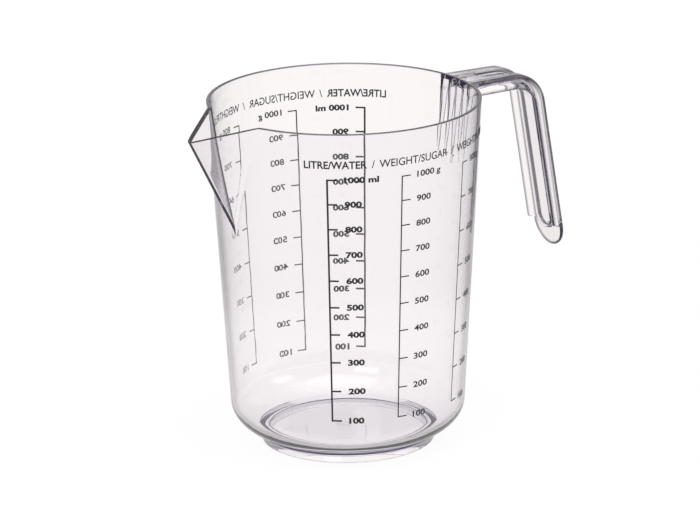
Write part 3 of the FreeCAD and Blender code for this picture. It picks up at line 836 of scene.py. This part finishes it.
def surround_light(tree, lit_zone):
    """Colour of the surround. Seen directly it is white. The more often the plastic has mirrored a
    ray, the darker it is, most of all inside the plastic, but never darker than lit_zone allows."""
    path = add_node(tree, "ShaderNodeLightPath")
    squared = add_node(tree, "ShaderNodeMath", {"operation": "MULTIPLY"})
    tree.links.new(path.outputs["Glossy Depth"], squared.inputs[0])
    tree.links.new(path.outputs["Glossy Depth"], squared.inputs[1])
    inside = add_node(tree, "ShaderNodeMath", {"operation": "POWER"})
    inside.inputs[0].default_value = INSIDE_FADE
    tree.links.new(squared.outputs["Value"], inside.inputs[1])
    outside = add_node(tree, "ShaderNodeMath", {"operation": "POWER"})
    outside.inputs[0].default_value = OUTSIDE_FADE
    tree.links.new(path.outputs["Glossy Depth"], outside.inputs[1])
    entered = add_node(tree, "ShaderNodeMath", {"operation": "GREATER_THAN"})
    entered.inputs[1].default_value = 0.5
    tree.links.new(path.outputs["Transmission Depth"], entered.inputs[0])
    fade = add_node(tree, "ShaderNodeMix", {"data_type": "FLOAT"})
    tree.links.new(entered.outputs["Value"], fade.inputs[0])
    tree.links.new(outside.outputs["Value"], fade.inputs[2])
    tree.links.new(inside.outputs["Value"], fade.inputs[3])
    lit = add_node(tree, "ShaderNodeMath", {"operation": "MAXIMUM"})
    tree.links.new(fade.outputs[0], lit.inputs[0])
    tree.links.new(lit_zone, lit.inputs[1])
    seen = add_node(tree, "ShaderNodeMix", {"data_type": "RGBA"})
    seen.inputs[6].default_value = linear("#2A2640")
    seen.inputs[7].default_value = (1.05, 1.022, 1.0, 1.0)
    tree.links.new(lit.outputs["Value"], seen.inputs[0])
    direct = add_node(tree, "ShaderNodeMix", {"data_type": "RGBA"})
    tree.links.new(path.outputs["Is Camera Ray"], direct.inputs[0])
    tree.links.new(seen.outputs[2], direct.inputs[6])
    direct.inputs[7].default_value = (1.0, 1.0, 1.0, 1.0)
    return direct.outputs[2]


def overhead_zone(tree):
    """Share of the big soft box overhead: 0 at the sides of the room, OVERHEAD_SHARE straight up."""
    place = add_node(tree, "ShaderNodeTexCoord")
    height = add_node(tree, "ShaderNodeSeparateXYZ", Vector=place.outputs["Generated"])
    steep = add_node(tree, "ShaderNodeMapRange",
                     {"interpolation_type": "SMOOTHSTEP", "From Min": 0.45, "From Max": 0.8,
                      "To Min": 0.0, "To Max": OVERHEAD_SHARE}, Value=height.outputs["Z"])
    return steep.outputs["Result"]


def lit_sheet_zone(tree):
    """Share of the lit sheet close to the jug: SHEET_SHARE under it, 0 further out."""
    place = add_node(tree, "ShaderNodeTexCoord")
    reach = add_node(tree, "ShaderNodeVectorMath", {"operation": "LENGTH"})
    tree.links.new(place.outputs["Object"], reach.inputs[0])
    near = add_node(tree, "ShaderNodeMapRange",
                    {"interpolation_type": "SMOOTHSTEP", "From Min": 0.14, "From Max": 0.3,
                     "To Min": SHEET_SHARE, "To Max": 0.0}, Value=reach.outputs["Value"])
    return near.outputs["Result"]


def studio_floor():
    """Matt white acrylic sheet, lit from below as well as above: pale all over, with only a faint
    shade where the jug stands. From underneath it is clear, so the foot can be seen."""
    material, tree, output = new_material("white_acrylic_sheet")
    skin = add_node(tree, "ShaderNodeBsdfDiffuse", {"Color": linear("#F4F4F4"), "Roughness": 0.5})
    glow = add_node(tree, "ShaderNodeEmission", Color=surround_light(tree, lit_sheet_zone(tree)))
    share = add_node(tree, "ShaderNodeMixShader", {"Fac": SHEET_GLOW})
    tree.links.new(skin.outputs["BSDF"], share.inputs[1])
    tree.links.new(glow.outputs["Emission"], share.inputs[2])
    side = add_node(tree, "ShaderNodeNewGeometry")
    clear = add_node(tree, "ShaderNodeBsdfTransparent")
    from_below = add_node(tree, "ShaderNodeMixShader", Fac=side.outputs["Backfacing"])
    tree.links.new(share.outputs["Shader"], from_below.inputs[1])
    tree.links.new(clear.outputs["BSDF"], from_below.inputs[2])
    tree.links.new(from_below.outputs["Shader"], output.inputs["Surface"])
    return material


# ---------------------------------------------------------------- assembly

moulding = join_solids(make_body(), [make_handle(), make_wall_ribs()])
shade(moulding, 38.0)
moulding.data.materials.clear()
moulding.data.materials.append(clear_plastic())
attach(moulding, "root")
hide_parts("jug_body", "foot_ring", "handle")

ink = black_ink()
amounts = range(MARK_STEP, LAST_MARK + 1, MARK_STEP)
flour_amounts = range(MARK_STEP, LAST_FLOUR_MARK + 1, MARK_STEP)
volume_marks = [level_of(amount) + PRINT_LIFT for amount in amounts]
flour_marks = [FLOUR_START + FLOUR_SPACING * index for index in range(len(flour_amounts))]
litre_labels = number_labels(amounts, "ml")
sugar_labels = number_labels(amounts, "g")
flour_labels = number_labels(flour_amounts, "g")
SIDES = (("front", LITRE_ANGLE, SUGAR_ANGLE, FLOUR_ANGLE),
         ("back", BACK_LITRE_ANGLE, BACK_SUGAR_ANGLE, BACK_FLOUR_ANGLE))
for side, litre_angle, sugar_angle, flour_angle in SIDES:
    films = {
        "litre_scale_" + side: (volume_marks, litre_labels, litre_angle, LITRE_BOLD, BOLD_LINE_WIDTH),
        "sugar_scale_" + side: (volume_marks, sugar_labels, sugar_angle, SUGAR_BOLD, LINE_WIDTH),
        "flour_scale_" + side: (flour_marks, flour_labels, flour_angle, FLOUR_BOLD, LINE_WIDTH),
    }
    printed = {node: make_scale("print_" + node, *values) for node, values in films.items()}
    printed["heading_" + side] = make_heading("print_heading_" + side, litre_angle)
    for node, film_piece in printed.items():
        film_piece.data.materials.append(ink)
        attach(film_piece, "root")
        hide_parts(node)

# ---------------------------------------------------------------- studio

SHEET_REACH = 4.0
SHEET_LEVEL = -0.0003
AIM_HEIGHT = 0.08
# Soft boxes: name, place, width and power
SOFT_BOXES = (("overhead_soft_box", (0.1, -0.2, 1.7), 1.3, 7.0),
              ("left_soft_box", (-1.5, -1.1, 1.2), 0.9, 5.0),
              ("right_soft_box", (1.4, -1.3, 1.2), 0.9, 4.0))
CAMERA_AZIMUTH = math.radians(-32.2)
CAMERA_ELEVATION = math.radians(17.16)
CAMERA_DISTANCE = 2.0268
CAMERA_TARGET = Vector((0.0, 0.0, 0.0783))
CAMERA_ROLL = math.radians(-0.76)
CAMERA_LENS = 245.916
CAMERA_SENSOR = 36.0
CAMERA_SHIFT_X = 0.00557
CAMERA_SHIFT_Y = -0.00357

floor_mesh = bpy.data.meshes.new("studio_floor")
sheet_corners = [(x * SHEET_REACH, y * SHEET_REACH, SHEET_LEVEL)
                 for x, y in ((-1, -1), (1, -1), (1, 1), (-1, 1))]
floor_mesh.from_pydata(sheet_corners, [], [(0, 1, 2, 3)])
floor = bpy.data.objects.new("studio_floor", floor_mesh)
bpy.context.scene.collection.objects.link(floor)
floor_mesh.materials.append(studio_floor())

world = bpy.data.worlds.new("studio")
bpy.context.scene.world = world
world.use_nodes = True
world_tree = world.node_tree
world_tree.nodes.clear()
surround = add_node(world_tree, "ShaderNodeBackground", {"Strength": 1.0},
                    Color=surround_light(world_tree, overhead_zone(world_tree)))
add_node(world_tree, "ShaderNodeOutputWorld", Surface=surround.outputs["Background"])

for light_name, position, width, power in SOFT_BOXES:
    light_data = bpy.data.lights.new(light_name, "AREA")
    light_data.shape = "SQUARE"
    light_data.size = width
    light_data.energy = power
    light = bpy.data.objects.new(light_name, light_data)
    light.location = position
    aim = Vector((0.0, 0.0, AIM_HEIGHT)) - Vector(position)
    light.rotation_euler = aim.to_track_quat("-Z", "Y").to_euler()
    bpy.context.scene.collection.objects.link(light)

camera_data = bpy.data.cameras.new("camera")
camera = bpy.data.objects.new("camera", camera_data)
bpy.context.scene.collection.objects.link(camera)
camera_data.sensor_width = CAMERA_SENSOR
camera_data.lens = CAMERA_LENS
camera_data.clip_end = 50.0
camera_data.shift_x = CAMERA_SHIFT_X
camera_data.shift_y = CAMERA_SHIFT_Y
back = Vector((math.sin(CAMERA_AZIMUTH) * math.cos(CAMERA_ELEVATION),
               -math.cos(CAMERA_AZIMUTH) * math.cos(CAMERA_ELEVATION), math.sin(CAMERA_ELEVATION)))
camera.location = CAMERA_TARGET + back * CAMERA_DISTANCE
turned = (-back).to_track_quat("-Z", "Y").to_matrix().to_4x4() @ Matrix.Rotation(CAMERA_ROLL, 4, "Z")
camera.rotation_euler = turned.to_euler()
bpy.context.scene.camera = camera
bpy.context.scene.view_settings.view_transform = "Standard"
